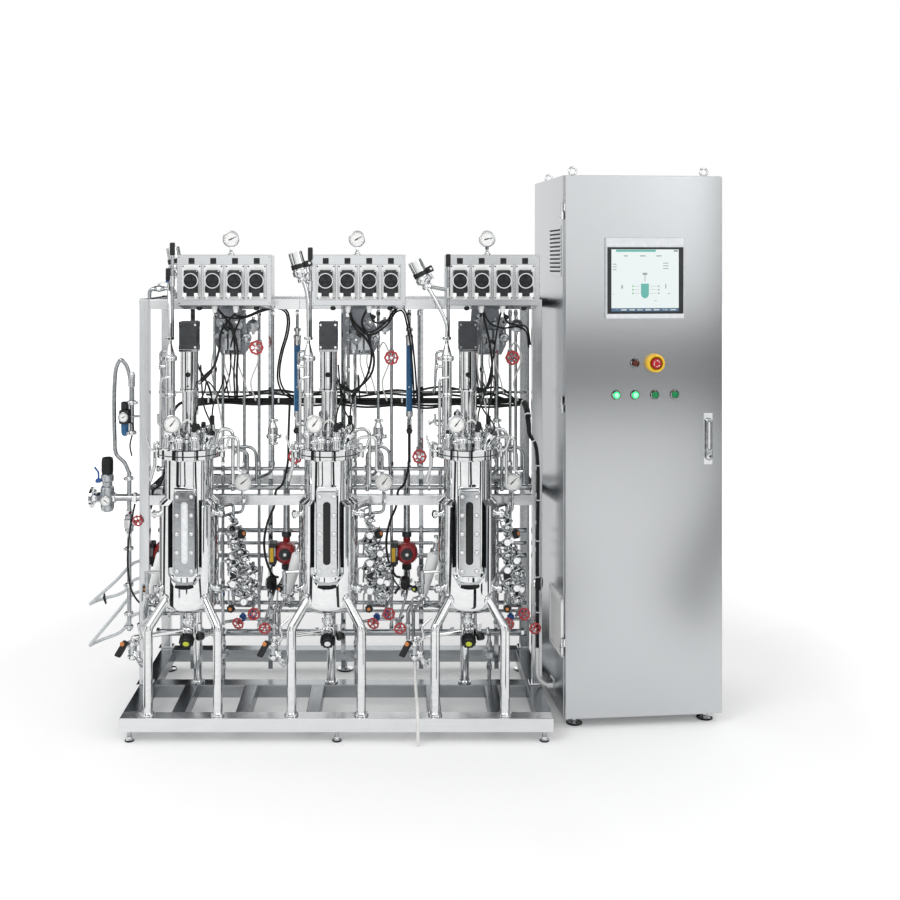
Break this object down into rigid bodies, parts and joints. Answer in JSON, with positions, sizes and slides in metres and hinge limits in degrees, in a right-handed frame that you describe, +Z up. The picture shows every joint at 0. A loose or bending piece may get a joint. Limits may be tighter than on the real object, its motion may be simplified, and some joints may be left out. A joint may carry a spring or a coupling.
{
  "type": "bioreactor skid",
  "caption": "Stainless bioreactor skid with jacketed stirred vessels, pump panels, a pipe rack and circulation pumps, joined by a cable conduit to a tall control cabinet.",
  "frame": {"origin": "middle of the footprint of the skid and the cabinet, on the floor, measured without the free hoses and tubes", "axes": "+X along the skid from the air service to the cabinet, +Y from the front, where the vessels stand, to the back, +Z up"},
  "size_m": [2.4369, 0.786, 2.07],
  "materials": {
    "polished_steel": "mirror-polished stainless steel",
    "brushed_steel": "brushed stainless steel, fine grain along the length",
    "panel_steel": "satin stainless steel sheet",
    "motor_enamel": "dark grey powder coat, fine texture",
    "black_plastic": "moulded black plastic, satin",
    "pump_enamel": "glossy red enamel on cast iron",
    "wheel_enamel": "light red enamel, satin",
    "screen_plastic": "dark glass-fronted screen in a black bezel",
    "stop_red": "glossy red plastic",
    "button_green": "glossy green plastic",
    "cable_black": "matt black cable sheath",
    "air_hose": "smooth grey hose",
    "white_tube": "milky white plastic",
    "blue_plastic": "clear blue plastic, glossy",
    "yellow_plastic": "glossy yellow plastic",
    "clear_glass": "clear polished glass"
  },
  "bodies": {
    "frame": {"air_service": "polished_steel", "base_frame": "brushed_steel", "cabinet_body": "brushed_steel", "cabinet_conduit": "white_tube", "cable_trunk": "cable_black", "circulation_pump_left": "pump_enamel", "circulation_pump_middle": "pump_enamel", "circulation_pump_right": "pump_enamel", "drain_tube": "white_tube", "drive_left": "motor_enamel", "drive_middle": "motor_enamel", "drive_right": "motor_enamel", "exhaust_filter_left": "polished_steel", "exhaust_filter_middle": "polished_steel", "exhaust_filter_right": "polished_steel", "head_plate_left": "polished_steel", "head_plate_middle": "polished_steel", "head_plate_right": "polished_steel", "lower_hose": "air_hose", "mounting_plate": "panel_steel", "pipe_rack": "polished_steel", "pump_panel_left": "panel_steel", "pump_panel_middle": "panel_steel", "pump_panel_right": "panel_steel", "sight_glass_left": "polished_steel", "sight_glass_middle": "polished_steel", "sight_glass_right": "polished_steel", "upper_frame": "brushed_steel", "upper_hose": "air_hose", "vessel_left": "polished_steel", "vessel_middle": "polished_steel", "vessel_right": "polished_steel"},
    "cabinet_door": {"cabinet_door": "brushed_steel", "touch_screen": "screen_plastic"},
    "agitator_left": {"agitator_left": "polished_steel"},
    "agitator_middle": {"agitator_middle": "polished_steel"},
    "agitator_right": {"agitator_right": "polished_steel"},
    "door_handle": {"door_handle": "brushed_steel"},
    "handwheel_flow_middle": {"handwheel_flow_middle": "wheel_enamel"},
    "handwheel_flow_right": {"handwheel_flow_right": "wheel_enamel"},
    "handwheel_top_left": {"handwheel_top_left": "wheel_enamel"},
    "handwheel_top_middle": {"handwheel_top_middle": "wheel_enamel"},
    "handwheel_top_right": {"handwheel_top_right": "wheel_enamel"},
    "pump_rotor_left_1": {"pump_rotor_left_1": "black_plastic"},
    "pump_rotor_left_2": {"pump_rotor_left_2": "black_plastic"},
    "pump_rotor_left_3": {"pump_rotor_left_3": "black_plastic"},
    "pump_rotor_left_4": {"pump_rotor_left_4": "black_plastic"},
    "pump_rotor_middle_1": {"pump_rotor_middle_1": "black_plastic"},
    "pump_rotor_middle_2": {"pump_rotor_middle_2": "black_plastic"},
    "pump_rotor_middle_3": {"pump_rotor_middle_3": "black_plastic"},
    "pump_rotor_middle_4": {"pump_rotor_middle_4": "black_plastic"},
    "pump_rotor_right_1": {"pump_rotor_right_1": "black_plastic"},
    "pump_rotor_right_2": {"pump_rotor_right_2": "black_plastic"},
    "pump_rotor_right_3": {"pump_rotor_right_3": "black_plastic"},
    "pump_rotor_right_4": {"pump_rotor_right_4": "black_plastic"},
    "push_button_1": {"push_button_1": "button_green"},
    "push_button_2": {"push_button_2": "button_green"},
    "push_button_3": {"push_button_3": "button_green"},
    "push_button_4": {"push_button_4": "button_green"},
    "stop_button": {"stop_button": "stop_red"}
  },
  "joints": [
    {"name": "agitator_left_spin", "type": "hinge", "parent": "frame", "child": "agitator_left", "pos_m": [-0.782, -0.222, 0.545], "axis": [0, 0, 1], "continuous": true},
    {"name": "agitator_middle_spin", "type": "hinge", "parent": "frame", "child": "agitator_middle", "pos_m": [-0.268, -0.222, 0.545], "axis": [0, 0, 1], "continuous": true},
    {"name": "agitator_right_spin", "type": "hinge", "parent": "frame", "child": "agitator_right", "pos_m": [0.246, -0.222, 0.545], "axis": [0, 0, 1], "continuous": true},
    {"name": "pump_rotor_left_1_spin", "type": "hinge", "parent": "frame", "child": "pump_rotor_left_1", "pos_m": [-0.7805, -0.202, 1.644], "axis": [0, 1, 0], "continuous": true},
    {"name": "pump_rotor_left_2_spin", "type": "hinge", "parent": "frame", "child": "pump_rotor_left_2", "pos_m": [-0.6995, -0.202, 1.644], "axis": [0, 1, 0], "continuous": true},
    {"name": "pump_rotor_left_3_spin", "type": "hinge", "parent": "frame", "child": "pump_rotor_left_3", "pos_m": [-0.6185, -0.202, 1.644], "axis": [0, 1, 0], "continuous": true},
    {"name": "pump_rotor_left_4_spin", "type": "hinge", "parent": "frame", "child": "pump_rotor_left_4", "pos_m": [-0.5375, -0.202, 1.644], "axis": [0, 1, 0], "continuous": true},
    {"name": "pump_rotor_middle_1_spin", "type": "hinge", "parent": "frame", "child": "pump_rotor_middle_1", "pos_m": [-0.2805, -0.202, 1.644], "axis": [0, 1, 0], "continuous": true},
    {"name": "pump_rotor_middle_2_spin", "type": "hinge", "parent": "frame", "child": "pump_rotor_middle_2", "pos_m": [-0.1995, -0.202, 1.644], "axis": [0, 1, 0], "continuous": true},
    {"name": "pump_rotor_middle_3_spin", "type": "hinge", "parent": "frame", "child": "pump_rotor_middle_3", "pos_m": [-0.1185, -0.202, 1.644], "axis": [0, 1, 0], "continuous": true},
    {"name": "pump_rotor_middle_4_spin", "type": "hinge", "parent": "frame", "child": "pump_rotor_middle_4", "pos_m": [-0.0375, -0.202, 1.644], "axis": [0, 1, 0], "continuous": true},
    {"name": "pump_rotor_right_1_spin", "type": "hinge", "parent": "frame", "child": "pump_rotor_right_1", "pos_m": [0.2195, -0.202, 1.644], "axis": [0, 1, 0], "continuous": true},
    {"name": "pump_rotor_right_2_spin", "type": "hinge", "parent": "frame", "child": "pump_rotor_right_2", "pos_m": [0.3005, -0.202, 1.644], "axis": [0, 1, 0], "continuous": true},
    {"name": "pump_rotor_right_3_spin", "type": "hinge", "parent": "frame", "child": "pump_rotor_right_3", "pos_m": [0.3815, -0.202, 1.644], "axis": [0, 1, 0], "continuous": true},
    {"name": "pump_rotor_right_4_spin", "type": "hinge", "parent": "frame", "child": "pump_rotor_right_4", "pos_m": [0.4625, -0.202, 1.644], "axis": [0, 1, 0], "continuous": true},
    {"name": "handwheel_top_left_turn", "type": "hinge", "parent": "frame", "child": "handwheel_top_left", "pos_m": [-0.556, -0.052, 1.384], "axis": [0, 1, 0], "range_deg": [0, 720]},
    {"name": "handwheel_top_middle_turn", "type": "hinge", "parent": "frame", "child": "handwheel_top_middle", "pos_m": [-0.036, -0.052, 1.345], "axis": [0, 1, 0], "range_deg": [0, 720]},
    {"name": "handwheel_top_right_turn", "type": "hinge", "parent": "frame", "child": "handwheel_top_right", "pos_m": [0.43, -0.052, 1.345], "axis": [0, 1, 0], "range_deg": [0, 720]},
    {"name": "handwheel_flow_middle_turn", "type": "hinge", "parent": "frame", "child": "handwheel_flow_middle", "pos_m": [-0.406, -0.052, 0.965], "axis": [0, 1, 0], "range_deg": [0, 720]},
    {"name": "handwheel_flow_right_turn", "type": "hinge", "parent": "frame", "child": "handwheel_flow_right", "pos_m": [0.072, -0.052, 0.965], "axis": [0, 1, 0], "range_deg": [0, 720]},
    {"name": "cabinet_door_swing", "type": "hinge", "parent": "frame", "child": "cabinet_door", "pos_m": [0.59109, -0.2487, 1], "axis": [0, 0, -1], "range_deg": [0, 100]},
    {"name": "door_handle_turn", "type": "hinge", "parent": "cabinet_door", "child": "door_handle", "pos_m": [1.13897, -0.21098, 1.121], "axis": [-0.0941, 0.9956, 0], "range_deg": [0, 90]},
    {"name": "stop_button_press", "type": "slide", "parent": "cabinet_door", "child": "stop_button", "axis": [-0.0941, 0.9956, 0], "range_m": [0, 0.006]},
    {"name": "push_button_1_press", "type": "slide", "parent": "cabinet_door", "child": "push_button_1", "axis": [-0.0941, 0.9956, 0], "range_m": [0, 0.004], "stiffness_N_per_m": 200},
    {"name": "push_button_2_press", "type": "slide", "parent": "cabinet_door", "child": "push_button_2", "axis": [-0.0941, 0.9956, 0], "range_m": [0, 0.004], "stiffness_N_per_m": 200},
    {"name": "push_button_3_press", "type": "slide", "parent": "cabinet_door", "child": "push_button_3", "axis": [-0.0941, 0.9956, 0], "range_m": [0, 0.004], "stiffness_N_per_m": 200},
    {"name": "push_button_4_press", "type": "slide", "parent": "cabinet_door", "child": "push_button_4", "axis": [-0.0941, 0.9956, 0], "range_m": [0, 0.004], "stiffness_N_per_m": 200}
  ]
}
